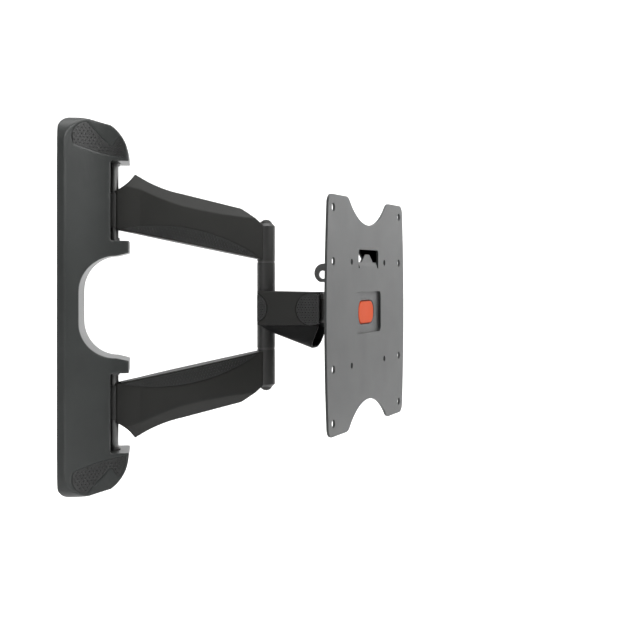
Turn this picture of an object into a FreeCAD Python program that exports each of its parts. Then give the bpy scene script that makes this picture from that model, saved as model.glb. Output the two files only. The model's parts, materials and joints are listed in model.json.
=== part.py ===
import FreeCAD, Part
import math
import os
from FreeCAD import Vector

os.makedirs("parts", exist_ok=True)

# Frame: the wall is the plane Y = 0, the mount reaches out along -Y, +Z is up.
# "reach" is the distance out from the wall or from a link's own pivot.

# Links
WALL_PIVOT_OUT = 50.7
ARM_LENGTH = 158.0
FOREARM_LENGTH = 68.0
HEAD_LENGTH = 45.0
ARM_REST_DEG = 9.3
FOREARM_REST_DEG = -29.45
FOREARM_MID_Z = -3.0
PLATE_MID_Z = -6.0
GAP = 0.3
RUNNING = 0.05

# Wall part
COVER_HALF_TALL = 184.5
COVER_HALF_WIDE = 53.0
COVER_DEEP = 67.0
COVER_WALL = 2.8
COVER_FRONT_HALF = 25.0
COVER_CORNER = 28.0
COVER_BACK_DROP = 16.0
COVER_CROWN_NEAR = 10.0
COVER_CROWN_FAR = 20.0
COVER_SHOULDER_OUT = 50.0
COVER_SHOULDER_DROP = 7.0
COVER_NOSE_DROP = 39.0
RIM_DEEP = 7.5
BASE_THICK = 3.0
BASE_INSET = 5.0
BASE_SHORTER = 21.0
NOTCH_LOW = 65.0
NOTCH_HIGH = 143.0
NOTCH_BACK = 49.4
SCOOP_HALF = 50.0
SCOOP_BACK = 20.0
SCOOP_CORNER = 35.0
WALL_HOLE_R = 4.0
WALL_HOLE_X = 30.0
WALL_HOLE_Z = 148.0
STUD_HOLE_Z = 36.0
PIN_R = 4.5
SLEEVE_R = 5.6
COLLAR_R = 6.8
EAR_THICK = 4.0
EAR_LOW = 57.5
EAR_HIGH = 146.5
EAR_HALF = 12.0
BRACKET_HALF = 18.0
SCREW_R = 2.5

# Arm
ARM_BARREL_R = 7.6
ARM_BUSH_R = 6.2
ARM_BARREL_LOW = 79.0
ARM_BARREL_HIGH = 113.0
POST_R = 9.35
POST_SEAM = 44.0
POST_WASHER = 2.0
POST_TOP = 85.0
POST_SHOULDER = 3.0
DOME_R = 6.35
DOME_TALL = 4.0
ELBOW_PIN_R = 5.0
ELBOW_BUSH_R = 6.8
NECK_HALF = 8.2
ARM_HALF = 12.0
ARM_END_HALF = 8.0
ARM_CORE_HALF = 4.0
ARM_SKIN = 2.2
INLAY_THICK = 1.2
GROOVE = 0.5

# Forearm
FOREARM_HALF = 13.5
FOREARM_TALL_ELBOW = 35.5
FOREARM_TALL_HEAD = 33.6
FOREARM_TAIL = 5.0
HEAD_CLEAR_R = 14.0
HEAD_BARREL_R = 8.0
HEAD_BARREL_HALF = 10.2
HEAD_PIN_R = 4.5
DUCT_WALL = 1.8

# Head and tilt
YOKE_WEB = 11.5
YOKE_THICK = 3.0
YOKE_HALF = 25.4
TILT_REACH = 24.0
TILT_BOLT_R = 4.0
TILT_WASHER = 0.8
CARRIER_THICK = 3.0
CARRIER_HALF = 48.0
CARRIER_LOW = -42.0
CARRIER_HIGH = 40.0

# Screen plate
SHEET = 2.4
PLATE_HALF_TALL = 112.3
PLATE_HALF_CORNER = 113.0
PLATE_HALF_MID = 118.0
PLATE_CORNER_R = 10.0
SCOOP_R = 82.0
SCOOP_APEX = 87.0
HORN_BLEND = 14.0
SCREEN_GRID = 100.0
SCREEN_HOLE_R = 4.0
INNER_HOLE_R = 3.0
WINDOW_HALF = 30.0
WINDOW_LOW = 50.0
WINDOW_HIGH = 62.4
SLOT_WIDE = 3.0
SLOT_LOW = 44.0
TONGUE_BASE = 17.0
TONGUE_TIP = 6.5
TONGUE_HIGH = 57.7
TONGUE_JOGGLE = 1.6
RECESS_HALF_X = 38.0
RECESS_HALF_Z = 20.5
RECESS_DEEP = 2.7
BUTTON_HALF_X = 22.0
BUTTON_HALF_Z = 11.0
BUTTON_CORNER = 9.4
BUTTON_GAP = 0.5
FLANGE_LIP = 2.4
HOLE_CHAMFER = 1.2


# ---------------------------------------------------------------- shapes
def wire(path, place):
    """Closed wire: an item is a point (a, b) or an arc (a, b, c, d) through (a, b) to (c, d)."""
    edges = []
    start = place(*path[0])
    for step in path[1:] + path[:1]:
        end = place(*step[-2:])
        if len(step) == 4:
            edges.append(Part.Arc(start, place(*step[:2]), end).toShape())
        elif (end - start).Length > 1e-6:
            edges.append(Part.LineSegment(start, end).toShape())
        start = end
    return Part.Wire(edges)


def side_prism(path, low_x, high_x):
    """Outline of (reach, height) points, solid from low_x to high_x."""
    face = Part.Face(wire(path, lambda reach, height: Vector(low_x, -reach, height)))
    return face.extrude(Vector(high_x - low_x, 0, 0))


def flat_prism(path, low_z, high_z):
    """Outline of (x, reach) points, solid from low_z to high_z."""
    face = Part.Face(wire(path, lambda x, reach: Vector(x, -reach, low_z)))
    return face.extrude(Vector(0, 0, high_z - low_z))


def front_prism(path, near, far):
    """Outline of (x, z) points, solid from reach near to reach far."""
    face = Part.Face(wire(path, lambda x, z: Vector(x, -near, z)))
    return face.extrude(Vector(0, near - far, 0))


def block(low_x, high_x, near, far, low_z, high_z):
    return Part.makeBox(high_x - low_x, far - near, high_z - low_z, Vector(low_x, -far, low_z))


def post(radius, low_z, high_z, reach=0.0, x=0.0):
    return Part.makeCylinder(radius, high_z - low_z, Vector(x, -reach, low_z))


def ring(outer, inner, low_z, high_z, reach=0.0):
    return post(outer, low_z, high_z, reach).cut(post(inner, low_z - 1, high_z + 1, reach))


def peg(radius, near, far, x, z):
    """Cylinder along the reach direction."""
    return Part.makeCylinder(radius, far - near, Vector(x, -near, z), Vector(0, -1, 0))


def cross_rod(radius, low_x, high_x, reach, z):
    return Part.makeCylinder(radius, high_x - low_x, Vector(low_x, -reach, z), Vector(1, 0, 0))


def rounded(half_x, low_z, high_z, radius, mid_x=0.0):
    """Path of a rounded rectangle in (x, z)."""
    bend = radius * (1 - math.sqrt(0.5))
    left, right = mid_x - half_x, mid_x + half_x
    return [
        (left + radius, low_z),
        (right - radius, low_z),
        (right - bend, low_z + bend, right, low_z + radius),
        (right, high_z - radius),
        (right - bend, high_z - bend, right - radius, high_z),
        (left + radius, high_z),
        (left + bend, high_z - bend, left, high_z - radius),
        (left, low_z + radius),
        (left + bend, low_z + bend, left + radius, low_z),
    ]


def mirror_z(shape):
    return shape.mirror(Vector(0, 0, 0), Vector(0, 0, 1))


def mirror_x(shape):
    return shape.mirror(Vector(0, 0, 0), Vector(1, 0, 0))


def union(shapes):
    return shapes[0].fuse(shapes[1:]).removeSplitter()


def group(shapes):
    return Part.makeCompound(shapes)


def along(pivot, degrees, distance):
    turn = math.radians(degrees)
    return pivot + Vector(math.sin(turn), -math.cos(turn), 0) * distance


WALL_PIVOT = Vector(0, -WALL_PIVOT_OUT, 0)
ELBOW = along(WALL_PIVOT, ARM_REST_DEG, ARM_LENGTH)
SWIVEL = along(ELBOW, FOREARM_REST_DEG, FOREARM_LENGTH)
LINKS = {
    "wall": (Vector(0, 0, 0), 0.0),
    "arm": (WALL_PIVOT, ARM_REST_DEG),
    "forearm": (ELBOW, FOREARM_REST_DEG),
    "head": (SWIVEL, FOREARM_REST_DEG),
}


def save(name, shape, link):
    pivot, degrees = LINKS[link]
    placed = shape.copy()
    placed.rotate(Vector(0, 0, 0), Vector(0, 0, 1), degrees)
    placed.translate(pivot)
    count = len(placed.Solids)
    if not placed.isValid() or count == 0:
        raise ValueError(name + " is not a valid solid")
    placed.exportStep("parts/" + name + ".step")
    print(name, count, round(placed.Volume))


# ---------------------------------------------------------------- wall part
def cover_form(inset):
    """The cover's outer form, or its hollow when inset is the wall thickness."""
    half = COVER_HALF_WIDE - inset
    front = COVER_FRONT_HALF - inset
    deep = COVER_DEEP - inset
    tall = COVER_HALF_TALL - inset
    shoulder = RIM_DEEP + 1.0
    back = GAP if inset == 0 else -1.0
    rear = GAP + inset
    section = [
        (-half, back),
        (half, back),
        (half, RIM_DEEP),
        (half - 2, shoulder),
        (half - 16.5, 30.0, front + 2, deep - 3),
        (front + 1.3, deep - 0.7, front - 2, deep),
        (2 - front, deep),
        (-front - 1.3, deep - 0.7, -front - 2, deep - 3),
        (16.5 - half, 30.0, 2 - half, shoulder),
        (-half, RIM_DEEP),
    ]
    upper = [
        (deep, tall - COVER_NOSE_DROP),
        (deep - 6, tall - 18.5, COVER_SHOULDER_OUT - inset, tall - COVER_SHOULDER_DROP),
        (COVER_CROWN_FAR, tall),
        (COVER_CROWN_NEAR + inset, tall),
        (inset + 3, tall - 5, rear, tall - COVER_BACK_DROP),
        (back, tall - COVER_BACK_DROP),
    ]
    lower = [
        (back, COVER_BACK_DROP - tall),
        (rear, COVER_BACK_DROP - tall),
        (inset + 3, 5 - tall, COVER_CROWN_NEAR + inset, -tall),
        (COVER_CROWN_FAR, -tall),
        (COVER_SHOULDER_OUT - inset, COVER_SHOULDER_DROP - tall),
        (deep - 6, 18.5 - tall, deep, COVER_NOSE_DROP - tall),
    ]
    profile = upper + lower
    corner = COVER_CORNER - inset
    form = flat_prism(section, -tall, tall)
    form = form.common(side_prism(profile, -half, half))
    return form.common(front_prism(rounded(half, -tall, tall, corner), back, deep))


def scoop_cut(inset):
    """The C-shaped scoop across the middle of the cover."""
    half = SCOOP_HALF + inset
    back = SCOOP_BACK - inset
    corner = SCOOP_CORNER + inset
    turn_in = SCOOP_BACK + SCOOP_CORNER
    bend = corner * (1 - math.sqrt(0.5))
    low = half - corner
    path = [
        (COVER_DEEP + 5, half + 4),
        (turn_in, half),
        (back + bend, half - bend, back, low),
        (back, -low),
        (back + bend, bend - half, turn_in, -half),
        (COVER_DEEP + 5, -half - 4),
    ]
    return side_prism(path, -COVER_HALF_WIDE - 5, COVER_HALF_WIDE + 5)


def butterfly(grow):
    """Outline of the perforated inlay at the cover's top end, in (reach, height)."""
    return [
        (15.4 - grow, 157.0 - grow * 0.6),
        (39.0, 149.9 - grow),
        (63.9 + grow, 145.6 - grow),
        (62.2 + grow, 158.0, 57.2 + grow * 0.5, 166.6 + grow * 1.8),
        (51.4 - grow * 0.2, 157.4 + grow * 0.6),
        (48.4 + grow * 0.2, 157.4 + grow * 0.6),
        (27.4 + grow, 179.8 + grow),
        (17.4 - grow * 0.8, 174.4 + grow * 0.6, 15.4 - grow, 157.0 - grow * 0.6),
    ]


def both_sides(outline):
    """The outline as a solid on the +X side and its mirror image."""
    right = side_prism(outline, 10, COVER_HALF_WIDE + 5)
    return group([right, mirror_x(right)])


def cover_inlay_top():
    skin = cover_form(0).cut(cover_form(INLAY_THICK))
    return skin.common(both_sides(butterfly(-GROOVE)))


def wall_cover():
    outer = cover_form(0)
    shell = outer.cut(cover_form(COVER_WALL))
    linings = [outer.common(scoop_cut(COVER_WALL))]
    for low in (NOTCH_LOW - COVER_WALL, NOTCH_HIGH):
        shelf = outer.common(block(-60, 60, BASE_THICK + 2, 80, low, low + COVER_WALL))
        linings.append(shelf)
        linings.append(mirror_z(shelf))
    shell = union([shell] + linings).cut(scoop_cut(0))
    notch = block(-60, 60, NOTCH_BACK, 80, NOTCH_LOW, NOTCH_HIGH)
    sleeve_hole = post(COLLAR_R + 0.6, NOTCH_LOW - 5, NOTCH_HIGH + 5, WALL_PIVOT_OUT)
    bracket_room = block(-BRACKET_HALF - 2, BRACKET_HALF + 2, 0, 40, EAR_LOW - 1, 152)
    pocket = cover_form(0).cut(cover_form(INLAY_THICK))
    pocket = pocket.common(both_sides(butterfly(0)))
    for cut in (notch, sleeve_hole, bracket_room, pocket):
        shell = shell.cut(cut).cut(mirror_z(cut))
    return shell


def wall_base():
    half = COVER_HALF_WIDE - BASE_INSET
    tall = COVER_HALF_TALL - BASE_SHORTER
    plate = front_prism(rounded(half, -tall, tall, COVER_CORNER - BASE_INSET), 0, BASE_THICK)
    for x in (-WALL_HOLE_X, WALL_HOLE_X):
        for z in (-WALL_HOLE_Z, WALL_HOLE_Z):
            plate = plate.cut(peg(WALL_HOLE_R, -1, BASE_THICK + 1, x, z))
    for z in (-STUD_HOLE_Z, STUD_HOLE_Z):
        plate = plate.cut(peg(WALL_HOLE_R, -1, BASE_THICK + 1, 0, z))
    for x, z in bracket_screw_places():
        for height in (z, -z):
            plate = plate.cut(peg(SCREW_R, -1, BASE_THICK + 1, x, height))
    return plate


def bracket_screw_places():
    return [(x, z) for x in (-12.0, 12.0) for z in (72.0, 136.0)]


def pivot_bracket():
    top = EAR_HIGH + EAR_THICK
    flange = block(-BRACKET_HALF, BRACKET_HALF, BASE_THICK, BASE_THICK + 4, EAR_LOW, top)
    ears = []
    for low in (EAR_LOW, EAR_HIGH):
        ear = block(-EAR_HALF, EAR_HALF, BASE_THICK, WALL_PIVOT_OUT, low, low + EAR_THICK)
        nose = post(EAR_HALF, low, low + EAR_THICK, WALL_PIVOT_OUT)
        ears.append(ear.fuse(nose).removeSplitter())
    rib = block(-2.5, 2.5, BASE_THICK, 34, EAR_LOW, top)
    bracket = union([flange, rib] + ears)
    bracket = bracket.cut(post(PIN_R, EAR_LOW - 1, EAR_HIGH + 6, WALL_PIVOT_OUT))
    for x, z in bracket_screw_places():
        bracket = bracket.cut(peg(SCREW_R, 0, 8, x, z))
    return bracket


def bracket_screws():
    screws = []
    for x, z in bracket_screw_places():
        shank = peg(SCREW_R, 0.5, BASE_THICK + 4, x, z)
        head = peg(SCREW_R * 1.8, BASE_THICK + 4, BASE_THICK + 6.8, x, z)
        hexagon = peg(SCREW_R * 0.8, BASE_THICK + 5.2, BASE_THICK + 8, x, z)
        screw = shank.fuse(head).removeSplitter().cut(hexagon)
        screws += [screw, mirror_z(screw)]
    return group(screws)


def pivot_pin():
    shaft = post(PIN_R, EAR_LOW - 1.5, EAR_HIGH + EAR_THICK, WALL_PIVOT_OUT)
    head = post(PIN_R + 2.5, EAR_HIGH + EAR_THICK, EAR_HIGH + EAR_THICK + 3, WALL_PIVOT_OUT)
    return shaft.fuse(head).removeSplitter()


def pivot_sleeves():
    spans = [
        (EAR_LOW + EAR_THICK, ARM_BARREL_LOW - GAP, NOTCH_LOW + GAP),
        (ARM_BARREL_HIGH + GAP, EAR_HIGH, NOTCH_HIGH - GAP - 3.0),
    ]
    sleeves = []
    for low, high, collar in spans:
        tube = ring(SLEEVE_R, PIN_R, low, high, WALL_PIVOT_OUT)
        flange = ring(COLLAR_R, PIN_R, collar, collar + 3.0, WALL_PIVOT_OUT)
        sleeve = tube.fuse(flange).removeSplitter()
        sleeves += [sleeve, mirror_z(sleeve)]
    return group(sleeves)


def cover_clips():
    clips = []
    for x in (-38.0, 38.0):
        for z in (-110.0, -20.0, 110.0):
            foot = block(x - 4, x + 4, BASE_THICK, BASE_THICK + 1.5, z - 6, z + 6)
            leg = block(x - 4, x + 4, BASE_THICK, BASE_THICK + 8, z - 1, z + 1)
            clips.append(foot.fuse(leg).removeSplitter())
    return group(clips)


def build_wall_part():
    save("wall_base", wall_base(), "wall")
    save("wall_cover", wall_cover(), "wall")
    save("upper_cover_inlays", cover_inlay_top(), "wall")
    save("lower_cover_inlays", mirror_z(cover_inlay_top()), "wall")
    save("upper_pivot_bracket", pivot_bracket(), "wall")
    save("lower_pivot_bracket", mirror_z(pivot_bracket()), "wall")
    save("bracket_screws", bracket_screws(), "wall")
    save("upper_pivot_pin", pivot_pin(), "wall")
    save("lower_pivot_pin", mirror_z(pivot_pin()), "wall")
    save("pivot_sleeves", pivot_sleeves(), "wall")
    save("cover_clips", cover_clips(), "wall")


# ---------------------------------------------------------------- main arm
def arm_outline(inset):
    """Side outline of the upper arm, in (reach, height)."""
    return [
        (inset, 77.3 + inset),
        (ARM_LENGTH - 5 - inset, 47.0 + inset),
        (ARM_LENGTH - 5 - inset, 83.0 - inset),
        (147.0 - inset, 88.0 - inset, 130.0, 99.8 - inset),
        (67.0, 114.0 - inset),
        (40.0, 122.6 - inset, 22.0, 133.0 - inset * 2),
        (11.0, 121.0 - inset, inset, 115.0 - inset),
    ]


def arm_plan(inset):
    """Top outline of the arm, in (x, reach)."""
    half = ARM_HALF - inset
    neck = NECK_HALF - inset
    end = ARM_END_HALF - inset
    right = [(neck, 0), (neck, 26), (neck + 1.6, 38, half, 66), (half - 0.7, 110, end, ARM_LENGTH)]
    left = [(-end, ARM_LENGTH), (0.7 - half, 110, -half, 66), (-neck - 1.6, 38, -neck, 26), (-neck, 0)]
    return right + left


def facet_cutter(inset):
    """Everything outside the sloping outer facet on the +X side."""
    low = Vector(ARM_HALF - inset, 0, 115.0)
    far = Vector(ARM_HALF - inset, -ARM_LENGTH + 5, 83.0)
    ridge = Vector(ARM_HALF - inset - 7.0, -67.0, 114.5)
    normal = (far - low).cross(ridge - low)
    normal.normalize()
    if normal.z < 0:
        normal = normal * -1
    slab = Part.makeBox(400, 400, 80, Vector(-200, -200, 0))
    onto_facet = FreeCAD.Placement(low, FreeCAD.Rotation(Vector(0, 0, 1), normal))
    slab.Placement = onto_facet.multiply(slab.Placement)
    return slab


def arm_form(inset):
    form = side_prism(arm_outline(inset), -20, 20).common(flat_prism(arm_plan(inset), 30, 150))
    cutter = facet_cutter(inset)
    return form.cut(cutter).cut(mirror_x(cutter))


def lens(grow):
    """Outline of the long perforated inlay beside the arm's inner edge, in (reach, height)."""
    slope = (47.0 - 77.3) / (ARM_LENGTH - 5)
    start, end = 8.0 - grow, 147.0 + grow
    edge = 1.6 - grow
    middle = 70.0
    return [
        (start, 77.3 + slope * start + edge),
        (end, 77.3 + slope * end + edge),
        (middle, 77.3 + slope * middle + 16.0 + grow, start, 77.3 + slope * start + edge),
    ]


def arm_beam():
    beam = side_prism(arm_outline(4.5), -ARM_CORE_HALF, ARM_CORE_HALF)
    beam = beam.fuse(block(-ARM_CORE_HALF, ARM_CORE_HALF, 135, ARM_LENGTH, 54, 78))
    wall_barrel = post(ARM_BARREL_R, ARM_BARREL_LOW, ARM_BARREL_HIGH)
    shoulder_low = POST_TOP - POST_SHOULDER
    elbow_barrel = post(POST_R, POST_SEAM + POST_WASHER, shoulder_low, ARM_LENGTH)
    shoulder = Part.makeCone(POST_R, DOME_R, POST_SHOULDER, Vector(0, -ARM_LENGTH, shoulder_low))
    elbow_barrel = elbow_barrel.fuse(shoulder)
    beam = beam.cut(post(ARM_BARREL_R, 60, 140))
    cutter = facet_cutter(ARM_SKIN + GAP)
    beam = beam.cut(cutter).cut(mirror_x(cutter))
    beam = union([beam, wall_barrel, elbow_barrel])
    beam = beam.cut(post(ARM_BUSH_R, 60, 140))
    return beam.cut(post(ELBOW_PIN_R, 30, 99, ARM_LENGTH))


def arm_cover(side):
    """Half cover: the half on +X for side 1, on -X for side -1."""
    skin = arm_form(0).cut(arm_form(ARM_SKIN))
    half = block(0.02, 30, -10, 200, 30, 150)
    half = half if side > 0 else mirror_x(half)
    skin = skin.common(half)
    skin = skin.cut(post(ARM_BARREL_R + GAP, 60, 140)).cut(post(POST_R + GAP, 30, 120, ARM_LENGTH))
    outward = side_prism(lens(0), 0, 30)
    pocket = arm_form(0).cut(arm_form(INLAY_THICK)).common(outward if side > 0 else mirror_x(outward))
    return skin.cut(pocket)


def arm_inlay(side):
    skin = arm_form(0).cut(arm_form(INLAY_THICK))
    outward = side_prism(lens(-GROOVE), 1.0, 30).common(side_prism(lens(0), 1.0, 30))
    return skin.common(outward if side > 0 else mirror_x(outward))


def arm_bush():
    return ring(ARM_BUSH_R, PIN_R + RUNNING, ARM_BARREL_LOW, ARM_BARREL_HIGH)


def elbow_dome():
    sphere_r = (DOME_R ** 2 + DOME_TALL ** 2) / (2 * DOME_TALL)
    centre = POST_TOP + DOME_TALL - sphere_r
    ball = Part.makeSphere(sphere_r, Vector(0, -ARM_LENGTH, centre))
    return ball.common(post(DOME_R, POST_TOP, POST_TOP + DOME_TALL, ARM_LENGTH))


def build_arm():
    for name, turn in (("upper", lambda shape: shape), ("lower", mirror_z)):
        save(name + "_arm_beam", turn(arm_beam()), "arm")
        for label, side in (("near", -1), ("far", 1)):
            save(name + "_arm_" + label + "_cover", turn(arm_cover(side)), "arm")
            save(name + "_arm_" + label + "_inlay", turn(arm_inlay(side)), "arm")
        save(name + "_elbow_cap", turn(elbow_dome()), "arm")
    save("arm_bushes", group([arm_bush(), mirror_z(arm_bush())]), "arm")
    save("elbow_shaft", post(ELBOW_PIN_R, -POST_TOP, POST_TOP, ARM_LENGTH), "arm")
    washer = ring(POST_R - 0.3, ELBOW_PIN_R, POST_SEAM + RUNNING, POST_SEAM + POST_WASHER, ARM_LENGTH)
    save("elbow_washers", group([washer, mirror_z(washer)]), "arm")


# ---------------------------------------------------------------- forearm
def forearm_outline(inset):
    low_elbow = FOREARM_MID_Z - FOREARM_TALL_ELBOW / 2 + inset
    high_elbow = FOREARM_MID_Z + FOREARM_TALL_ELBOW / 2 - inset
    low_head = FOREARM_MID_Z - FOREARM_TALL_HEAD / 2 + inset
    high_head = FOREARM_MID_Z + FOREARM_TALL_HEAD / 2 - inset
    return [
        (inset - FOREARM_TAIL, low_elbow),
        (FOREARM_LENGTH, low_head),
        (FOREARM_LENGTH, high_head),
        (inset - FOREARM_TAIL, high_elbow),
    ]


def forearm_form(inset):
    half = FOREARM_HALF - inset
    plan = [
        (-half + 1.5, inset - FOREARM_TAIL),
        (half - 1.5, inset - FOREARM_TAIL),
        (half, inset - FOREARM_TAIL + 1.5),
        (half, FOREARM_LENGTH),
        (-half, FOREARM_LENGTH),
        (-half, inset - FOREARM_TAIL + 1.5),
    ]
    form = side_prism(forearm_outline(inset), -20, 20).common(flat_prism(plan, -30, 30))
    return form.cut(post(HEAD_CLEAR_R, -60, 60, FOREARM_LENGTH))


def elbow_bow(grow):
    mid = FOREARM_MID_Z
    return [
        (-10.0, mid - 14.5 - grow),
        (-FOREARM_TAIL, mid - 14.5 - grow),
        (7.0 + grow, mid, -FOREARM_TAIL, mid + 14.5 + grow),
        (-10.0, mid + 14.5 + grow),
    ]


def head_bow(grow):
    mid = FOREARM_MID_Z - 0.5
    return [
        (70.0, mid - 15.3 - grow),
        (62.0, mid - 15.3 - grow),
        (39.0 - grow, mid, 62.0, mid + 15.3 + grow),
        (70.0, mid + 15.3 + grow),
    ]


def forearm_cover(side):
    skin = forearm_form(0).cut(forearm_form(ARM_SKIN))
    half = block(0.02, 30, -20, 100, -60, 60)
    outward = side_prism(elbow_bow(0), 0, 30).fuse(side_prism(head_bow(0), 0, 30))
    pocket = forearm_form(0).cut(forearm_form(INLAY_THICK)).common(outward)
    skin = skin.common(half).cut(pocket)
    skin = skin.cut(post(POST_R + GAP, -60, 60))
    skin = max(skin.Solids, key=lambda solid: solid.Volume)
    return skin if side > 0 else mirror_x(skin)


def forearm_inlay(outline, side):
    skin = forearm_form(0).cut(forearm_form(INLAY_THICK))
    piece = skin.common(side_prism(outline(-GROOVE), 1.0, 30))
    piece = piece.cut(post(POST_R + GAP, -60, 60))
    return piece if side > 0 else mirror_x(piece)


def forearm_beam():
    low = FOREARM_MID_Z - 12.0
    high = FOREARM_MID_Z + 12.0
    web = block(-6, 6, 0, FOREARM_LENGTH, low, high)
    window = side_prism([(18, low + 7), (50, low + 7), (50, high - 7), (18, high - 7)], -10, 10)
    web = web.cut(window)
    middle = post(POST_R, -POST_SEAM, POST_SEAM)
    head_low = FOREARM_MID_Z - HEAD_BARREL_HALF
    head_high = FOREARM_MID_Z + HEAD_BARREL_HALF
    for spot in (head_high, head_low - 20):
        web = web.cut(post(HEAD_CLEAR_R, spot, spot + 20, FOREARM_LENGTH))
    head = post(HEAD_BARREL_R, head_low, head_high, FOREARM_LENGTH)
    beam = union([web, middle, head])
    beam = beam.cut(post(ELBOW_BUSH_R, -60, 60))
    return beam.cut(post(HEAD_PIN_R + 1.2, -60, 60, FOREARM_LENGTH))


def forearm_bushes():
    top = ring(ELBOW_BUSH_R, ELBOW_PIN_R + RUNNING, POST_SEAM - 22, POST_SEAM)
    low = FOREARM_MID_Z - HEAD_BARREL_HALF
    high = FOREARM_MID_Z + HEAD_BARREL_HALF
    head = ring(HEAD_PIN_R + 1.2, HEAD_PIN_R + RUNNING, low, high, FOREARM_LENGTH)
    return group([top, mirror_z(top), head])


def duct_form(inset):
    bottom = FOREARM_MID_Z - FOREARM_TALL_ELBOW / 2 - GAP
    mouth_top = FOREARM_MID_Z - FOREARM_TALL_HEAD / 2 - GAP
    end = inset * 2
    path = [
        (inset * 3 - 3.0, bottom + inset),
        (14.5, -30.0 + inset),
        (54.4 + end * 0.4, -43.5 + inset),
        (64.0 + end * 0.4, mouth_top + inset),
    ]
    half = FOREARM_HALF - inset
    form = side_prism(path, -half, half)
    edges = [edge for edge in form.Edges if duct_bottom_edge(edge, half)]
    return form.makeFillet(9.0 - inset, edges)


def duct_bottom_edge(edge, half):
    """The long lower edge on either side of the duct."""
    points = [vertex.Point for vertex in edge.Vertexes]
    long_run = abs(points[0].y - points[1].y) > 30
    low = max(point.z for point in points) < -24
    return long_run and low and abs(abs(points[0].x) - half) < 0.01


def cable_duct():
    inner = duct_form(DUCT_WALL)
    lift = inner.copy()
    lift.translate(Vector(0, 0, 3.5))
    shell = duct_form(0).cut(inner).cut(lift.common(block(-11, 11, 10, 80, -60, 0)))
    ear_room = post(11.0, -22.5, -10, FOREARM_LENGTH)
    return shell.cut(ear_room).cut(post(POST_R + GAP, -60, 0))


def build_forearm():
    save("forearm_beam", forearm_beam(), "forearm")
    save("forearm_bushes", forearm_bushes(), "forearm")
    for label, side in (("near", -1), ("far", 1)):
        save("forearm_" + label + "_cover", forearm_cover(side), "forearm")
        save("forearm_" + label + "_elbow_inlay", forearm_inlay(elbow_bow, side), "forearm")
        save("forearm_" + label + "_head_inlay", forearm_inlay(head_bow, side), "forearm")
    save("cable_duct", cable_duct(), "forearm")


# ---------------------------------------------------------------- head
EAR_TOP_Z = FOREARM_MID_Z + HEAD_BARREL_HALF + 1.1
EAR_BOTTOM_Z = FOREARM_MID_Z - HEAD_BARREL_HALF - 1.1
WEB_FRONT = YOKE_WEB + YOKE_THICK
CHEEK_END_R = 9.5
EAR_R = 9.0
NUT_R = 7.5


def swivel_yoke():
    low_z = EAR_BOTTOM_Z - YOKE_THICK
    high_z = EAR_TOP_Z + YOKE_THICK
    parts = [block(-YOKE_HALF, YOKE_HALF, YOKE_WEB, WEB_FRONT, low_z, high_z)]
    for low in (EAR_TOP_Z, low_z):
        parts.append(block(-EAR_R, EAR_R, 0, WEB_FRONT, low, low + YOKE_THICK))
        parts.append(post(EAR_R, low, low + YOKE_THICK))
    for x in (-YOKE_HALF, YOKE_HALF - YOKE_THICK):
        cheek_low = PLATE_MID_Z - CHEEK_END_R
        cheek_high = PLATE_MID_Z + CHEEK_END_R
        parts.append(block(x, x + YOKE_THICK, YOKE_WEB, TILT_REACH, cheek_low, cheek_high))
        parts.append(cross_rod(CHEEK_END_R, x, x + YOKE_THICK, TILT_REACH, PLATE_MID_Z))
    parts.append(block(-5, 5, YOKE_WEB, WEB_FRONT, EAR_TOP_Z, 43.0))
    yoke = union(parts)
    yoke = yoke.cut(post(HEAD_PIN_R, -60, 60))
    return yoke.cut(cross_rod(TILT_BOLT_R, -40, 40, TILT_REACH, PLATE_MID_Z))


def cable_loop():
    """D-shaped guide, flat in the plane of the head's reach."""
    outer = [(YOKE_WEB, 24.0), (-7.0, 24.0), (-13.3, 32.5, -4.0, 43.0), (YOKE_WEB, 43.0)]
    inner = [(6.0, 27.6), (-5.0, 27.6), (-8.8, 31.5, -3.0, 35.4), (6.0, 35.4)]
    return side_prism(outer, -1.5, 1.5).cut(side_prism(inner, -5, 5))


def swivel_pin():
    shaft = post(HEAD_PIN_R, EAR_BOTTOM_Z - YOKE_THICK - 2.0, EAR_TOP_Z + YOKE_THICK)
    head = post(HEAD_PIN_R + 2.5, EAR_TOP_Z + YOKE_THICK, EAR_TOP_Z + YOKE_THICK + 1.4)
    return shaft.fuse(head).removeSplitter()


def swivel_nut():
    low = EAR_BOTTOM_Z - YOKE_THICK - 4.0
    turns = [math.radians(60 * k) for k in range(7)]
    hexagon = [Vector(NUT_R * math.cos(turn), NUT_R * math.sin(turn), low) for turn in turns]
    nut = Part.Face(Part.makePolygon(hexagon)).extrude(Vector(0, 0, 4.0))
    return nut.cut(post(HEAD_PIN_R, low + 2.0, low + 9)).cut(post(HEAD_PIN_R - 1.0, low - 1, low + 9))


def swivel_washers():
    top = ring(8.0, HEAD_PIN_R, EAR_TOP_Z - 0.9, EAR_TOP_Z)
    bottom = ring(8.0, HEAD_PIN_R, EAR_BOTTOM_Z, EAR_BOTTOM_Z + 0.9)
    return group([top, bottom])


def build_head():
    save("swivel_yoke", swivel_yoke(), "head")
    save("cable_loop", cable_loop(), "head")
    save("swivel_pin", swivel_pin(), "head")
    save("swivel_nut", swivel_nut(), "head")
    save("swivel_washers", swivel_washers(), "head")


# ---------------------------------------------------------------- tilt head
PLATE_BACK = HEAD_LENGTH - SHEET
CARRIER_BACK = PLATE_BACK - CARRIER_THICK
PAN_BACK = HEAD_LENGTH - RECESS_DEEP - SHEET
CHEEK_NEAR = YOKE_HALF + TILT_WASHER
MID = PLATE_MID_Z


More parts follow.
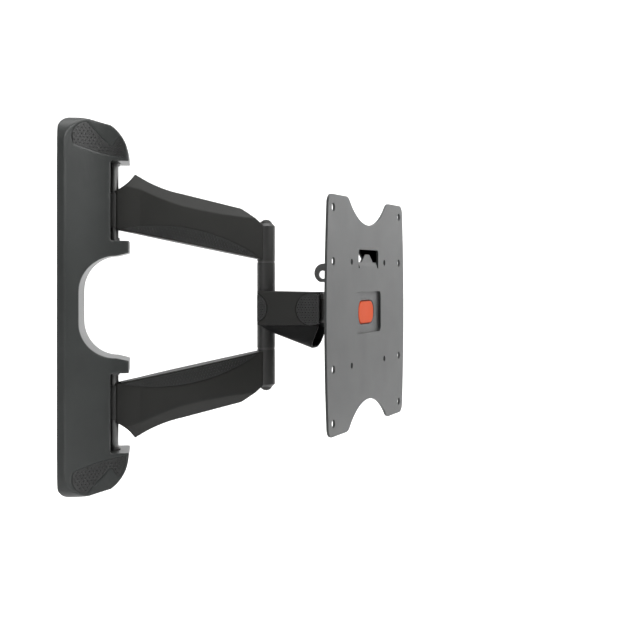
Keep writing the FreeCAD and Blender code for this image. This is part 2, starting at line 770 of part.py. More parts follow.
def carrier():
    outline = rounded(CARRIER_HALF, MID + CARRIER_LOW, MID + CARRIER_HIGH, 8)
    plate = front_prism(outline, CARRIER_BACK, PLATE_BACK)
    room = SHEET + 1
    half_z = RECESS_HALF_Z + room
    pan = rounded(RECESS_HALF_X + room, MID - half_z, MID + half_z, 8)
    plate = plate.cut(front_prism(pan, 0, 90))
    parts = [plate]
    for x in (-CHEEK_NEAR - YOKE_THICK, CHEEK_NEAR):
        parts.append(block(x, x + YOKE_THICK, TILT_REACH, CARRIER_BACK, MID - 9, MID + 9))
        parts.append(block(x, x + YOKE_THICK, CARRIER_BACK - 4, CARRIER_BACK, MID - 34, MID + 34))
        parts.append(cross_rod(9, x, x + YOKE_THICK, TILT_REACH, MID))
    return union(parts).cut(cross_rod(TILT_BOLT_R, -50, 50, TILT_REACH, MID))


def tilt_bolts():
    inner = YOKE_HALF - YOKE_THICK - 3.0
    outer = CHEEK_NEAR + YOKE_THICK
    shank = cross_rod(TILT_BOLT_R - RUNNING, inner, outer, TILT_REACH, MID)
    head = cross_rod(TILT_BOLT_R + 3, outer, outer + 4.5, TILT_REACH, MID)
    socket = cross_rod(2.4, outer + 2, outer + 6, TILT_REACH, MID)
    bolt = shank.fuse(head).removeSplitter().cut(socket)
    return group([bolt, mirror_x(bolt)])


def tilt_washers():
    disc = cross_rod(9, YOKE_HALF + 0.1, CHEEK_NEAR, TILT_REACH, MID)
    disc = disc.cut(cross_rod(TILT_BOLT_R, 0, 60, TILT_REACH, MID))
    return group([disc, mirror_x(disc)])


def screen_outline():
    """The plate's outline in (x, z): four horns, with a round scoop at the top and the bottom."""
    centre_z = SCOOP_APEX + SCOOP_R
    blend_z = PLATE_HALF_TALL - HORN_BLEND
    blend_x = math.sqrt((SCOOP_R + HORN_BLEND) ** 2 - (centre_z - blend_z) ** 2)
    share = SCOOP_R / (SCOOP_R + HORN_BLEND)
    meet_x = blend_x * share
    meet_z = centre_z - (centre_z - blend_z) * share
    lean = math.atan2(blend_x, centre_z - blend_z) / 2
    crest_x = blend_x - HORN_BLEND * math.sin(lean)
    crest_z = blend_z + HORN_BLEND * math.cos(lean)
    side = PLATE_HALF_CORNER
    top = PLATE_HALF_TALL
    radius = PLATE_CORNER_R
    bend = radius * (1 - math.sqrt(0.5))
    path = []
    for turn in (1, -1):
        side, top, bend, radius = side * turn, top * turn, bend * turn, radius * turn
        blend_x, meet_x, crest_x = blend_x * turn, meet_x * turn, crest_x * turn
        meet_z, crest_z = meet_z * turn, crest_z * turn
        path += [
            (PLATE_HALF_MID * turn, 0, side, top - radius),
            (side - bend, top - bend, side - radius, top),
            (blend_x, top),
            (crest_x, crest_z, meet_x, meet_z),
            (0, SCOOP_APEX * turn, -meet_x, meet_z),
            (-crest_x, crest_z, -blend_x, top),
            (radius - side, top),
            (bend - side, top - bend, -side, top - radius),
        ]
    return path[2:] + path[:2]


def shifted(path, dz):
    """The same (x, z) path moved up by dz."""
    moved = []
    for step in path:
        moved.append(tuple(value + dz * (index % 2) for index, value in enumerate(step)))
    return moved


def hook_tongue():
    joggle = TONGUE_JOGGLE
    profile = [
        (HEAD_LENGTH, MID + 45.0),
        (HEAD_LENGTH - joggle, MID + 49.5),
        (HEAD_LENGTH - joggle, MID + TONGUE_HIGH),
        (PLATE_BACK - joggle, MID + TONGUE_HIGH),
        (PLATE_BACK - joggle, MID + 49.0),
        (PLATE_BACK, MID + 45.0),
    ]
    width = [
        (-WINDOW_HALF + SLOT_WIDE, MID + 40),
        (WINDOW_HALF - SLOT_WIDE, MID + 40),
        (WINDOW_HALF - SLOT_WIDE, MID + WINDOW_LOW),
        (TONGUE_BASE, MID + WINDOW_LOW),
        (TONGUE_TIP, MID + TONGUE_HIGH),
        (-TONGUE_TIP, MID + TONGUE_HIGH),
        (-TONGUE_BASE, MID + WINDOW_LOW),
        (-WINDOW_HALF + SLOT_WIDE, MID + WINDOW_LOW),
    ]
    return side_prism(profile, -40, 40).common(front_prism(width, 30, 60))


def screen_plate():
    plate = front_prism(shifted(screen_outline(), MID), PLATE_BACK, HEAD_LENGTH)
    for x in (-SCREEN_GRID, SCREEN_GRID):
        for z in (-100.0, -50.0, 50.0, 100.0):
            plate = plate.cut(peg(SCREEN_HOLE_R, 30, 60, x, MID + z))
    for x in (-50.0, 50.0):
        for z in (-50.0, 50.0):
            plate = plate.cut(peg(INNER_HOLE_R, 30, 60, x, MID + z))
    window = front_prism(rounded(WINDOW_HALF, MID + 45.0, MID + WINDOW_HIGH, 3.0), 30, 60)
    slots = block(-WINDOW_HALF, WINDOW_HALF, 30, 60, MID + SLOT_LOW, MID + WINDOW_LOW)
    keep = block(-WINDOW_HALF + SLOT_WIDE, WINDOW_HALF - SLOT_WIDE, 20, 70, MID + 30, MID + 45.0)
    plate = plate.cut(window.fuse(slots).cut(keep))
    plate = plate.fuse(hook_tongue())
    low, high = MID - RECESS_HALF_Z, MID + RECESS_HALF_Z
    pan = rounded(RECESS_HALF_X + SHEET, low - SHEET, high + SHEET, 7)
    plate = plate.fuse(front_prism(pan, PAN_BACK, HEAD_LENGTH - 0.5))
    plate = plate.cut(front_prism(rounded(RECESS_HALF_X, low, high, 5), PAN_BACK + SHEET, 60))
    plate = plate.cut(front_prism(button_hole(BUTTON_GAP), 20, 60))
    floor = PAN_BACK + SHEET
    wide = wire(button_hole(BUTTON_GAP + HOLE_CHAMFER), lambda x, z: Vector(x, -floor, z))
    narrow = wire(button_hole(BUTTON_GAP), lambda x, z: Vector(x, HOLE_CHAMFER - floor, z))
    return plate.cut(Part.makeLoft([wide, narrow], True, True)).removeSplitter()


def button_hole(grow):
    """Path of the button's opening in the recess floor."""
    half_z = BUTTON_HALF_Z + grow
    return rounded(BUTTON_HALF_X + grow, MID - half_z, MID + half_z, BUTTON_CORNER + grow)


def plate_hooks():
    """Two hooks on the plate's back that hang over the carrier's top edge."""
    top = MID + CARRIER_HIGH
    profile = [
        (PLATE_BACK, top + 0.2),
        (CARRIER_BACK - 0.4, top + 0.2),
        (CARRIER_BACK - 0.4, top - 6.0),
        (CARRIER_BACK - 2.8, top - 6.0),
        (CARRIER_BACK - 2.8, top + 2.6),
        (PLATE_BACK, top + 2.6),
    ]
    hook = side_prism(profile, 34, 42)
    return group([hook, mirror_x(hook)])


def latch_housing():
    low, high = MID - 33.0, MID + 15.0
    box = block(-13, 13, 27.5, PAN_BACK - 3.6 - 2.6, low, high)
    hollow = block(-11, 11, 29.5, 60, low + 2, high - 2)
    nose_slot = block(-7, 7, 30, 60, low - 2, low + 4)
    housing = box.cut(hollow).cut(nose_slot)
    wings = []
    for side in (-1, 1):
        arm = block(13, CHEEK_NEAR, 28.5, 30.5, MID + 10.2, high)
        wings.append(arm if side > 0 else mirror_x(arm))
    front = [block(-CHEEK_NEAR, CHEEK_NEAR, 28.5, 30.5, MID + 12.5, high)]
    return union([housing] + wings + front)


def latch_bolt():
    body = block(-9, 9, 30.2, 32.2, MID - 28.0, MID - 9.0)
    nose = block(-6, 6, 30.2, 32.2, MID - 36.0, MID - 28.0)
    return body.fuse(nose).removeSplitter()


def latch_keeper():
    """Bracket on the plate's back with the slot that the latch nose enters."""
    foot = block(-12, 12, PLATE_BACK - 2, PLATE_BACK, MID - 60.0, MID - 44.0)
    shelf = block(-12, 12, 28.0, PLATE_BACK, MID - 46.0, MID - 44.0)
    lip = block(-12, 12, 33.2, 35.2, MID - 46.0, MID - 34.5)
    return union([foot, shelf, lip])


def release_button():
    """Cap with a flange behind the recess floor that keeps it in, and a stem."""
    face = HEAD_LENGTH - RECESS_DEEP
    cap = front_prism(button_hole(0), PAN_BACK - 2.0, face)
    rim = [edge for edge in cap.Edges if edge.BoundBox.YMax < 0.01 - face]
    cap = cap.makeFillet(0.8, rim)
    flange = front_prism(button_hole(FLANGE_LIP), PAN_BACK - 2.0, PAN_BACK - GAP)
    stem = peg(4.0, 33.0, PAN_BACK - 2.0, 0, MID)
    return union([cap, flange, stem])


def button_spring():
    """The coil's outer envelope as a thin tube between the housing and the cap."""
    tube = peg(6.6, 29.6, PAN_BACK - 2.1, 0, MID)
    return tube.cut(peg(5.4, 20, 60, 0, MID))


def build_tilt_head():
    save("carrier", carrier(), "head")
    save("tilt_bolts", tilt_bolts(), "head")
    save("tilt_washers", tilt_washers(), "head")
    save("screen_plate", screen_plate(), "head")
    save("plate_hooks", plate_hooks(), "head")
    save("latch_keeper", latch_keeper(), "head")
    save("latch_housing", latch_housing(), "head")
    save("latch_bolt", latch_bolt(), "head")
    save("release_button", release_button(), "head")
    save("button_spring", button_spring(), "head")


build_wall_part()
build_arm()
build_forearm()
build_head()
build_tilt_head()
print("wall pivot", WALL_PIVOT, "elbow", ELBOW, "swivel", SWIVEL)
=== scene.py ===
import json
import math

import bmesh
import bpy
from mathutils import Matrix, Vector
from mathutils.bvhtree import BVHTree


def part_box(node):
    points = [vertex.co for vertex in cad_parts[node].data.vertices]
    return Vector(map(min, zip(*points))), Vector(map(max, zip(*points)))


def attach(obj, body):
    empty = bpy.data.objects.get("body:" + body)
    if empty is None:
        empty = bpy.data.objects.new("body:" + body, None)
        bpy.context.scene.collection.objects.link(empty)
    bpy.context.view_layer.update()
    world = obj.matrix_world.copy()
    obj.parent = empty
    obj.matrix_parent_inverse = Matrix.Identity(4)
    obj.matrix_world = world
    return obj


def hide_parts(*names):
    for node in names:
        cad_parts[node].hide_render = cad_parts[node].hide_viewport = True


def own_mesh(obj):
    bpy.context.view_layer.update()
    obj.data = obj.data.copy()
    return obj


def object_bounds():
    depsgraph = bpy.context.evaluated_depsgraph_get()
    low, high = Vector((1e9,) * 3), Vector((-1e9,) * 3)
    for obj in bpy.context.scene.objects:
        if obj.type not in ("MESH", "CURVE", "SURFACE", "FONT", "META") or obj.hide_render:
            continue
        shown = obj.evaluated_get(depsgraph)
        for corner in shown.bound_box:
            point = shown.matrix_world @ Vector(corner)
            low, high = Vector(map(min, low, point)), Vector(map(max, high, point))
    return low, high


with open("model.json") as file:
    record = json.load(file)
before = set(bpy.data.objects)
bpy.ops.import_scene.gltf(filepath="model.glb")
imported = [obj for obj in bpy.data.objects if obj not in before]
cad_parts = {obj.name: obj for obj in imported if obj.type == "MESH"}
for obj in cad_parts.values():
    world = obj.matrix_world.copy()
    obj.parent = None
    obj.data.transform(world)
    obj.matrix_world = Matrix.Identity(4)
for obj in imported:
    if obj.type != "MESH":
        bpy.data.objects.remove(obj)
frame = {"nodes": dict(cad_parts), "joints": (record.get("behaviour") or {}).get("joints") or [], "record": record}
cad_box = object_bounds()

MM = 0.001
NODES = frame["nodes"]
SLOT_OF = {part["node"]: part["material_slot"] for part in frame["record"]["subparts"]}
BODY_OF = {
    node: body
    for body, members in frame["record"]["behaviour"]["bodies"].items()
    for node in members
}
JOINTS = {joint["name"]: joint for joint in frame["joints"]}
MOUNTS = {mount["name"]: mount for mount in frame["record"]["mounts"]}

UP = Vector((0, 0, 1))
OUT = Vector((0, -1, 0))
SIDEWAYS = Vector((1, 0, 0))
WALL_PIVOT = Vector(JOINTS["wall_swing"]["pos_m"])
ELBOW = Vector(JOINTS["elbow_swing"]["pos_m"])
ARM_WAY = (ELBOW - WALL_PIVOT).normalized()
SCREEN_WAY = Vector(MOUNTS["screen_200"]["axis"]).normalized()
FOREARM_WAY = Vector((SCREEN_WAY.x, SCREEN_WAY.y, 0)).normalized()

# Small holes of the inlays
HOLE_R = 0.62 * MM
HOLE_RIM = 0.55 * MM
HOLE_DEPTH = 3.0 * MM
HOLE_RUN_OUT = 1.5 * MM
HOLE_SIDES = 10
RIM_PROBES = 8
RIM_STEP = 2.5 * MM
FACING = 0.2
ARM_PITCH = 3.1 * MM
FOREARM_PITCH = 3.0 * MM
COVER_PITCH = 3.5 * MM

# Rounding and welding
WELD = 0.002 * MM
BEVEL_FROM_DEGREES = 40
CLOSE_BAND = 2.5 * MM

# Slope of an arm's inlays: its rise over its run
INLAY_RISE, INLAY_RUN = 30.3, 153.0

# Surround
FLOOR_BELOW = 0.16
FLOOR_SIDES = 96
BEND_STEPS = 12

# Spring behind the button
WIRE_R = 0.5 * MM
COIL_R = 5.3 * MM
COIL_TURNS = 5
COIL_STEPS = 20
COIL_FLAT = 15


# ---------------------------------------------------------------- camera
def add_camera():
    """Level view from beside the mount, a little in front of the wall."""
    data = bpy.data.cameras.new("camera")
    camera = bpy.data.objects.new("camera", data)
    bpy.context.scene.collection.objects.link(camera)
    camera.location = (-1.1449, -0.0988, 0.0323)
    look = Vector((0.9903, -0.1392, 0))
    camera.rotation_euler = look.to_track_quat("-Z", "Y").to_euler()
    data.sensor_width = 36.0
    data.lens = 63.4
    data.shift_y = -0.0719
    bpy.context.scene.camera = camera


# ---------------------------------------------------------------- materials
class Look:
    """A procedural material on one Principled shader, built a layer at a time."""

    def __init__(self, name):
        self.material = bpy.data.materials.new(name)
        self.material.use_nodes = True
        self.tree = self.material.node_tree
        self.shader = self.tree.nodes["Principled BSDF"]
        self.place = self.tree.nodes.new("ShaderNodeTexCoord").outputs["Object"]

    def noise(self, per_metre, detail=2.0, rough=0.5, stretch=None):
        place = self.place
        if stretch:
            mapping = self.tree.nodes.new("ShaderNodeMapping")
            mapping.inputs["Scale"].default_value = stretch
            self.tree.links.new(place, mapping.inputs["Vector"])
            place = mapping.outputs["Vector"]
        node = self.tree.nodes.new("ShaderNodeTexNoise")
        node.inputs["Scale"].default_value = per_metre
        node.inputs["Detail"].default_value = detail
        node.inputs["Roughness"].default_value = rough
        self.tree.links.new(place, node.inputs["Vector"])
        return node.outputs["Fac"]

    def speckle(self, per_metre):
        node = self.tree.nodes.new("ShaderNodeTexVoronoi")
        node.inputs["Scale"].default_value = per_metre
        self.tree.links.new(self.place, node.inputs["Vector"])
        return node.outputs["Distance"]

    def spread(self, factor, low, high, start=0.3, end=0.7):
        node = self.tree.nodes.new("ShaderNodeMapRange")
        node.inputs["From Min"].default_value = start
        node.inputs["From Max"].default_value = end
        node.inputs["To Min"].default_value = low
        node.inputs["To Max"].default_value = high
        self.tree.links.new(factor, node.inputs["Value"])
        return node.outputs["Result"]

    def blend(self, factor, one, two, mode="MIX"):
        node = self.tree.nodes.new("ShaderNodeMix")
        node.data_type = "RGBA"
        node.blend_type = mode
        for socket, value in (("Factor", factor), ("A", one), ("B", two)):
            target = [s for s in node.inputs if s.name == socket and s.enabled][0]
            if hasattr(value, "is_linked"):
                self.tree.links.new(value, target)
            elif socket == "Factor":
                target.default_value = value
            else:
                target.default_value = (*value, 1.0)
        return [s for s in node.outputs if s.enabled][0]

    def edges(self, start, end):
        """Where the surface bends outward: 0 on flats, 1 on edges."""
        node = self.tree.nodes.new("ShaderNodeNewGeometry")
        return self.spread(node.outputs["Pointiness"], 0.0, 1.0, start, end)

    def bump(self, height, depth, normal=None):
        node = self.tree.nodes.new("ShaderNodeBump")
        node.inputs["Strength"].default_value = 1.0
        node.inputs["Distance"].default_value = depth
        self.tree.links.new(height, node.inputs["Height"])
        if normal:
            self.tree.links.new(normal, node.inputs["Normal"])
        return node.outputs["Normal"]

    def finish(self, colour, rough, normal, metallic=0.0, specular=0.5):
        self.tree.links.new(colour, self.shader.inputs["Base Color"])
        self.tree.links.new(rough, self.shader.inputs["Roughness"])
        self.tree.links.new(normal, self.shader.inputs["Normal"])
        self.shader.inputs["Metallic"].default_value = metallic
        self.shader.inputs["Specular IOR Level"].default_value = specular
        return self.material


def shade(colour, factor):
    return tuple(min(1.0, value * factor) for value in colour)


def moulded(name, colour, rough, grain_depth, specular=0.5, edge_lightening=0.0):
    """Moulded plastic: faint flow mottling, fine spark texture and convex edges lightened by pointiness."""
    look = Look(name)
    flow = look.noise(18.0, 3.0)
    fine = look.noise(2600.0, 2.0, 0.6)
    tone = look.blend(look.spread(flow, 0.0, 1.0), shade(colour, 0.9), shade(colour, 1.1))
    tone = look.blend(look.spread(fine, 0.0, 0.22), tone, shade(colour, 1.6))
    # Convex edges get a lighter colour, raised by the given share of the base colour.
    if edge_lightening:
        tone = look.blend(look.edges(0.53, 0.62), tone, shade(colour, 1.0 + edge_lightening))
    scuffs = look.noise(35.0, 3.0, 0.5)
    roughness = look.spread(scuffs, rough - 0.02, rough + 0.02)
    normal = look.bump(fine, grain_depth)
    normal = look.bump(look.noise(340.0, 2.0), grain_depth * 1.5, normal)
    return look.finish(tone, roughness, normal, 0.0, specular)


def powder_coat(name, colour, rough, peel_depth, specular=0.5):
    """Baked powder coat: orange-peel ripple with fine lighter specks."""
    look = Look(name)
    peel = look.noise(520.0, 2.0, 0.45)
    specks = look.speckle(2400.0)
    cloud = look.noise(9.0, 3.0)
    tone = look.blend(look.spread(cloud, 0.0, 1.0), shade(colour, 0.98), shade(colour, 1.02))
    tone = look.blend(look.spread(specks, 0.25, 0.0, 0.0, 0.35), tone, shade(colour, 1.35))
    roughness = look.spread(look.noise(30.0, 3.0, 0.5), rough - 0.02, rough + 0.02)
    normal = look.bump(peel, peel_depth)
    normal = look.bump(specks, peel_depth * 0.5, normal)
    return look.finish(tone, roughness, normal, 0.0, specular)


def bare_metal(name, colour, rough, stretch):
    """Plated or oiled steel with drawn lines and small stains."""
    look = Look(name)
    lines = look.noise(900.0, 4.0, 0.6, stretch)
    stains = look.noise(70.0, 5.0, 0.6)
    tone = look.blend(look.spread(stains, 0.0, 1.0), shade(colour, 0.8), shade(colour, 1.12))
    tone = look.blend(look.spread(lines, 0.0, 0.35), tone, shade(colour, 0.7))
    roughness = look.spread(lines, rough - 0.08, rough + 0.1)
    normal = look.bump(lines, 0.00001)
    return look.finish(tone, roughness, normal, 1.0)


def make_materials():
    return {
        "cover_plastic": moulded("cover_plastic", (0.034, 0.0365, 0.0355), 0.38, 0.000012, 0.28, 0.3),
        "arm_plastic": moulded("arm_plastic", (0.019, 0.019, 0.0175), 0.5, 0.00003, 0.3, 0.5),
        "inlay_plastic": moulded("inlay_plastic", (0.024, 0.0245, 0.024), 0.42, 0.000015, 0.4, 0.3),
        "duct_plastic": moulded("duct_plastic", (0.004, 0.0042, 0.0042), 0.5, 0.00002, 0.18, 0.8),
        "nylon": moulded("nylon", (0.05, 0.05, 0.048), 0.4, 0.00001),
        "button_plastic": moulded("button_plastic", (0.4, 0.044, 0.004), 0.5, 0.000012, 0.12, 0.2),
        "black_steel": powder_coat("black_steel", (0.028, 0.028, 0.027), 0.42, 0.00004),
        "head_steel": powder_coat("head_steel", (0.052, 0.052, 0.050), 0.4, 0.00004),
        "plate_steel": powder_coat("plate_steel", (0.031, 0.0325, 0.032), 0.38, 0.000035, 0.4),
        "pin_steel": bare_metal("pin_steel", (0.16, 0.16, 0.158), 0.34, (1, 1, 14)),
        "zinc_steel": bare_metal("zinc_steel", (0.58, 0.59, 0.6), 0.3, (3, 3, 3)),
    }


MATERIALS = make_materials()


def dress(piece, slot_name):
    if not piece.data.materials:
        piece.data.materials.append(None)
    for place in piece.material_slots:
        place.material = MATERIALS[slot_name]


# ---------------------------------------------------------------- pieces from the frame
def copy_of(node, name):
    """A welded copy of a CAD node's mesh, as a new object."""
    mesh = NODES[node].data.copy()
    mesh.name = name
    piece = bpy.data.objects.new(name, mesh)
    bpy.context.scene.collection.objects.link(piece)
    bm = bmesh.new()
    bm.from_mesh(mesh)
    bmesh.ops.remove_doubles(bm, verts=bm.verts, dist=WELD)
    bmesh.ops.recalc_face_normals(bm, faces=bm.faces)
    bm.to_mesh(mesh)
    bm.free()
    return piece


def settle(piece):
    """Applies the piece's modifiers."""
    graph = bpy.context.evaluated_depsgraph_get()
    mesh = bpy.data.meshes.new_from_object(piece.evaluated_get(graph))
    old = piece.data
    piece.modifiers.clear()
    piece.data = mesh
    bpy.data.meshes.remove(old)
    mesh.name = piece.name
    return piece


def smooth_shade(piece, degrees=32):
    piece.data.shade_smooth()
    piece.data.set_sharp_from_angle(angle=math.radians(degrees))


def stand_for(piece, node):
    """The piece takes the CAD node's body, finish and place."""
    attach(piece, BODY_OF[node])
    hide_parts(node)
    dress(piece, SLOT_OF[node])


def soften(node, voxel, passes):
    """Moulded version of a CAD node: its edges are rounded by about one voxel."""
    piece = copy_of(node, node + "_moulded")
    remesh = piece.modifiers.new("remesh", "REMESH")
    remesh.mode = "VOXEL"
    remesh.voxel_size = voxel
    relax = piece.modifiers.new("relax", "SMOOTH")
    relax.factor = 0.5
    relax.iterations = passes
    settle(piece)
    smooth_shade(piece, 50)
    stand_for(piece, node)
    return piece


def close_up(piece, rise):
    """Raises the piece's top edge, so that it meets the piece above it."""
    top = max(vertex.co.z for vertex in piece.data.vertices)
    for vertex in piece.data.vertices:
        if vertex.co.z > top - CLOSE_BAND:
            vertex.co.z += rise


def bevelled(node, width):
    """Sheet or machined version of a CAD node, with its sharp edges broken."""
    piece = copy_of(node, node + "_finished")
    bm = bmesh.new()
    bm.from_mesh(piece.data)
    bmesh.ops.dissolve_limit(bm, angle_limit=math.radians(1.0), verts=bm.verts, edges=bm.edges)
    bm.to_mesh(piece.data)
    bm.free()
    bevel = piece.modifiers.new("bevel", "BEVEL")
    bevel.width = width
    bevel.segments = 2
    bevel.limit_method = "ANGLE"
    bevel.angle_limit = math.radians(BEVEL_FROM_DEGREES)
    bevel.use_clamp_overlap = True
    settle(piece)
    smooth_shade(piece)
    level = piece.modifiers.new("level", "WEIGHTED_NORMAL")
    level.keep_sharp = True
    level.weight = 100
    settle(piece)
    stand_for(piece, node)
    return piece


# ---------------------------------------------------------------- perforated inlays
def lattice(low, high, pitch):
    """Centres of a hexagonal grid of that pitch over a rectangle."""
    rise = pitch * math.sqrt(0.75)
    rows = int((high[1] - low[1]) / rise) + 2
    columns = int((high[0] - low[0]) / pitch) + 2
    for row in range(rows):
        for column in range(columns):
            along = low[0] + (column + 0.5 * (row % 2)) * pitch
            yield along, low[1] + row * rise


def mark_holes(drill, tree, points, frame_axes, pitch):
    """Adds a drill for each small hole that clears the inlay's outline on one face."""
    along, across, outward = frame_axes
    reach = [point.dot(along) for point in points]
    height = [point.dot(across) for point in points]
    depth = max(point.dot(outward) for point in points) + 20 * MM
    clear = HOLE_R + HOLE_RIM
    turns = [math.tau * k / RIM_PROBES for k in range(RIM_PROBES)]
    ring = [(math.cos(turn), math.sin(turn)) for turn in turns]
    for a, b in lattice((min(reach), min(height)), (max(reach), max(height)), pitch):
        start = along * a + across * b + outward * depth
        hit = tree.ray_cast(start, -outward)
        if hit[0] is None or hit[1].dot(outward) < FACING:
            continue
        rim = [start + along * (x * clear) + across * (y * clear) for x, y in ring]
        found = [tree.ray_cast(spot, -outward)[0] for spot in rim]
        if None in found or any((spot - hit[0]).dot(outward) < -RIM_STEP for spot in found):
            continue
        top, bottom = hit[0] + outward * HOLE_RUN_OUT, hit[0] - outward * HOLE_DEPTH
        add_drill(drill, top, bottom, along, across)


def perforate(node, along, across, faces, pitch):
    """Drills the small holes of an inlay where they clear its outline, seen from each of faces."""
    piece = copy_of(node, node + "_perforated")
    tree = BVHTree.FromObject(piece, bpy.context.evaluated_depsgraph_get())
    drill = bmesh.new()
    for outward in faces:
        points = [vertex.co for vertex in piece.data.vertices]
        mark_holes(drill, tree, points, (along, across, outward), pitch)
    tool = bpy.data.objects.new("tool", bpy.data.meshes.new("tool"))
    drill.to_mesh(tool.data)
    drill.free()
    bpy.context.scene.collection.objects.link(tool)
    cut = piece.modifiers.new("holes", "BOOLEAN")
    cut.operation = "DIFFERENCE"
    cut.object = tool
    cut.solver = "MANIFOLD"
    settle(piece)
    bpy.data.objects.remove(tool)
    smooth_shade(piece, 30)
    stand_for(piece, node)
    return piece


def add_drill(bm, top, bottom, along, across):
    rings = []
    for centre in (top, bottom):
        ring = []
        for k in range(HOLE_SIDES):
            turn = math.tau * k / HOLE_SIDES
            spot = centre + (along * math.cos(turn) + across * math.sin(turn)) * HOLE_R
            ring.append(bm.verts.new(spot))
        rings.append(ring)
    faces = [bm.faces.new(rings[0]), bm.faces.new(rings[1][::-1])]
    for k in range(HOLE_SIDES):
        follow = (k + 1) % HOLE_SIDES
        quad = (rings[0][follow], rings[0][k], rings[1][k], rings[1][follow])
        faces.append(bm.faces.new(quad))
    bmesh.ops.recalc_face_normals(bm, faces=faces)


def side_of(way):
    """The direction across a link, towards its far side."""
    return UP.cross(way).normalized()


def build_inlays():
    arm_far = side_of(ARM_WAY)
    for level, slope in (("upper", -1), ("lower", 1)):
        tilt = math.atan2(INLAY_RISE, INLAY_RUN) * slope
        along = (ARM_WAY * math.cos(tilt) + UP * math.sin(tilt)).normalized()
        across = (UP * math.cos(tilt) - ARM_WAY * math.sin(tilt)).normalized()
        for label, sign in (("near", -1), ("far", 1)):
            perforate(f"{level}_arm_{label}_inlay", along, across, [arm_far * sign], ARM_PITCH)
    forearm_far = side_of(FOREARM_WAY)
    for label, sign in (("near", -1), ("far", 1)):
        for end in ("elbow", "head"):
            node = f"forearm_{label}_{end}_inlay"
            perforate(node, FOREARM_WAY, UP, [forearm_far * sign], FOREARM_PITCH)
    for level in ("upper", "lower"):
        perforate(f"{level}_cover_inlays", OUT, UP, [SIDEWAYS, -SIDEWAYS], COVER_PITCH)


# ---------------------------------------------------------------- spring
def button_coil():
    """Wound wire in place of the spring's envelope."""
    low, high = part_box("button_spring")
    middle = (low + high) / 2
    reach = [vertex.co.dot(SCREEN_WAY) for vertex in NODES["button_spring"].data.vertices]
    near, far = min(reach) + WIRE_R, max(reach) - WIRE_R
    base = middle - SCREEN_WAY * (middle.dot(SCREEN_WAY) - near)
    curve = bpy.data.curves.new("button_coil", "CURVE")
    curve.dimensions = "3D"
    curve.bevel_depth = WIRE_R
    curve.bevel_resolution = 2
    spline = curve.splines.new("POLY")
    count = COIL_TURNS * COIL_STEPS
    spline.points.add(count)
    side = UP.cross(SCREEN_WAY).normalized()
    for step in range(count + 1):
        turn = math.tau * step / COIL_STEPS
        share = (step - COIL_FLAT) / (count - 2 * COIL_FLAT)
        rise = (far - near) * min(1.0, max(0.0, share))
        spot = base + SCREEN_WAY * rise + (side * math.cos(turn) + UP * math.sin(turn)) * COIL_R
        spline.points[step].co = (*spot, 1.0)
    source = bpy.data.objects.new("coil_source", curve)
    bpy.context.scene.collection.objects.link(source)
    graph = bpy.context.evaluated_depsgraph_get()
    mesh = bpy.data.meshes.new_from_object(source.evaluated_get(graph))
    bpy.data.objects.remove(source)
    coil = bpy.data.objects.new("button_coil", mesh)
    bpy.context.scene.collection.objects.link(coil)
    mesh.shade_smooth()
    stand_for(coil, "button_spring")
    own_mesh(coil)


# ---------------------------------------------------------------- the object
def build_object():
    soften("wall_cover", 1.0 * MM, 4)
    for level in ("upper", "lower"):
        for label in ("near", "far"):
            soften(f"{level}_arm_{label}_cover", 0.8 * MM, 3)
    for label in ("near", "far"):
        soften(f"forearm_{label}_cover", 0.7 * MM, 2)
    close_up(soften("cable_duct", 0.6 * MM, 2), 0.5 * MM)
    soften("release_button", 0.45 * MM, 3)
    bevelled("screen_plate", 0.35 * MM)
    build_inlays()
    button_coil()
    for name, node in NODES.items():
        if not node.hide_render:
            dress(node, SLOT_OF[name])


# ---------------------------------------------------------------- stage
def add_floor():
    """Round pale floor that curves up into a surround."""
    drop = cad_box[0][2] - FLOOR_BELOW
    radius, bend, top = 3.4, 0.9, 3.0
    profile = [(radius - bend, drop)]
    for step in range(1, BEND_STEPS + 1):
        turn = math.pi / 2 * step / BEND_STEPS
        profile.append((radius - bend + bend * math.sin(turn), drop + bend - bend * math.cos(turn)))
    profile.append((radius, drop + top))
    bm = bmesh.new()
    centre = bm.verts.new((0, 0, drop))
    rings = []
    for out, height in profile:
        ring = []
        for k in range(FLOOR_SIDES):
            turn = math.tau * k / FLOOR_SIDES
            ring.append(bm.verts.new((out * math.cos(turn), out * math.sin(turn), height)))
        rings.append(ring)
    for k in range(FLOOR_SIDES):
        follow = (k + 1) % FLOOR_SIDES
        bm.faces.new((centre, rings[0][k], rings[0][follow]))
        for inner, outer in zip(rings, rings[1:]):
            bm.faces.new((inner[k], outer[k], outer[follow], inner[follow]))
    mesh = bpy.data.meshes.new("floor")
    bm.to_mesh(mesh)
    bm.free()
    mesh.shade_smooth()
    floor = bpy.data.objects.new("floor", mesh)
    bpy.context.scene.collection.objects.link(floor)
    look = Look("pale_floor")
    cloud = look.noise(1.5, 2.0)
    tone = look.blend(look.spread(cloud, 0.0, 1.0), (0.86, 0.86, 0.86), (0.88, 0.88, 0.88))
    look.finish(tone, look.spread(cloud, 0.85, 0.9), look.bump(cloud, 0.0001))
    mesh.materials.append(look.material)


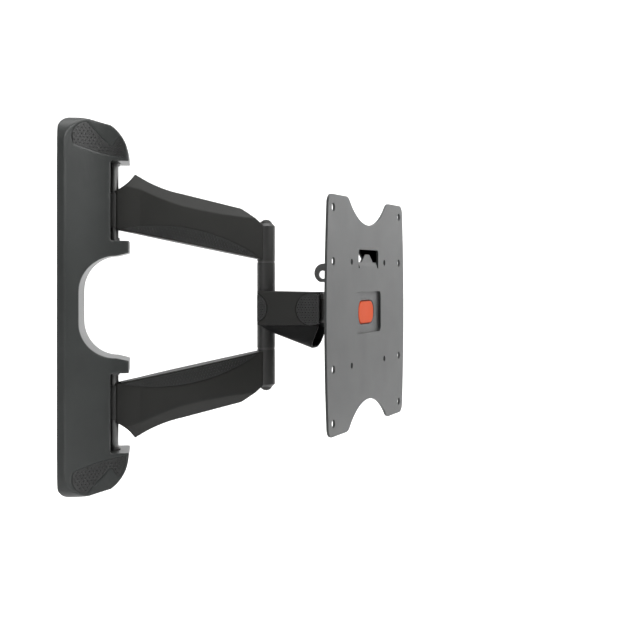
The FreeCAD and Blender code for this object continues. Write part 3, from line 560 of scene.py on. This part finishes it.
def add_flag():
    """Dark card beyond the camera that keeps reflections in the near faces low."""
    bm = bmesh.new()
    corners = ((-1.6, -0.3), (1.4, -0.3), (1.4, 2.2), (-1.6, 2.2))
    bm.faces.new([bm.verts.new((-2.5, y, z)) for y, z in corners])
    mesh = bpy.data.meshes.new("flag")
    bm.to_mesh(mesh)
    bm.free()
    flag = bpy.data.objects.new("flag", mesh)
    bpy.context.scene.collection.objects.link(flag)
    flag.visible_camera = False
    look = Look("dark_cloth")
    weave = look.noise(300.0, 2.0)
    tone = look.blend(look.spread(weave, 0.0, 1.0), (0.02, 0.02, 0.02), (0.03, 0.03, 0.03))
    look.finish(tone, look.spread(weave, 0.85, 0.95), look.bump(weave, 0.0005))
    mesh.materials.append(look.material)


def add_light(name, place, target, size, watts):
    data = bpy.data.lights.new(name, "AREA")
    data.shape = "RECTANGLE"
    data.size, data.size_y = size
    data.energy = watts
    light = bpy.data.objects.new(name, data)
    light.visible_camera = False
    bpy.context.scene.collection.objects.link(light)
    light.location = place
    look = Vector(target) - Vector(place)
    light.rotation_euler = look.to_track_quat("-Z", "Y").to_euler()
    return light


def add_lights():
    middle = (0.0, -0.15, 0.0)
    add_light("key", (-0.45, -1.05, 0.75), (0.0, -0.25, 0.05), (0.45, 0.6), 7)
    add_light("fill", (0.6, -1.9, 0.6), middle, (1.2, 1.2), 7)
    add_light("top", (0.2, -0.3, 1.8), middle, (1.4, 1.4), 22)
    add_light("side", (-1.4, 0.8, 0.7), middle, (0.4, 1.4), 5)
    add_light("glint", (-0.6, -0.75, 0.6), (0.0, -0.06, 0.15), (0.1, 0.5), 2.2)
    add_light("backdrop", (1.2, -0.2, 1.6), (3.0, -0.6, 0.2), (1.6, 1.6), 60)
    world = bpy.data.worlds.new("studio")
    world.use_nodes = True
    background = world.node_tree.nodes["Background"]
    background.inputs["Color"].default_value = (1, 1, 1, 1)
    background.inputs["Strength"].default_value = 0.55
    bpy.context.scene.world = world
    bpy.context.scene.view_settings.view_transform = "Standard"


add_camera()
build_object()
add_floor()
add_flag()
add_lights()
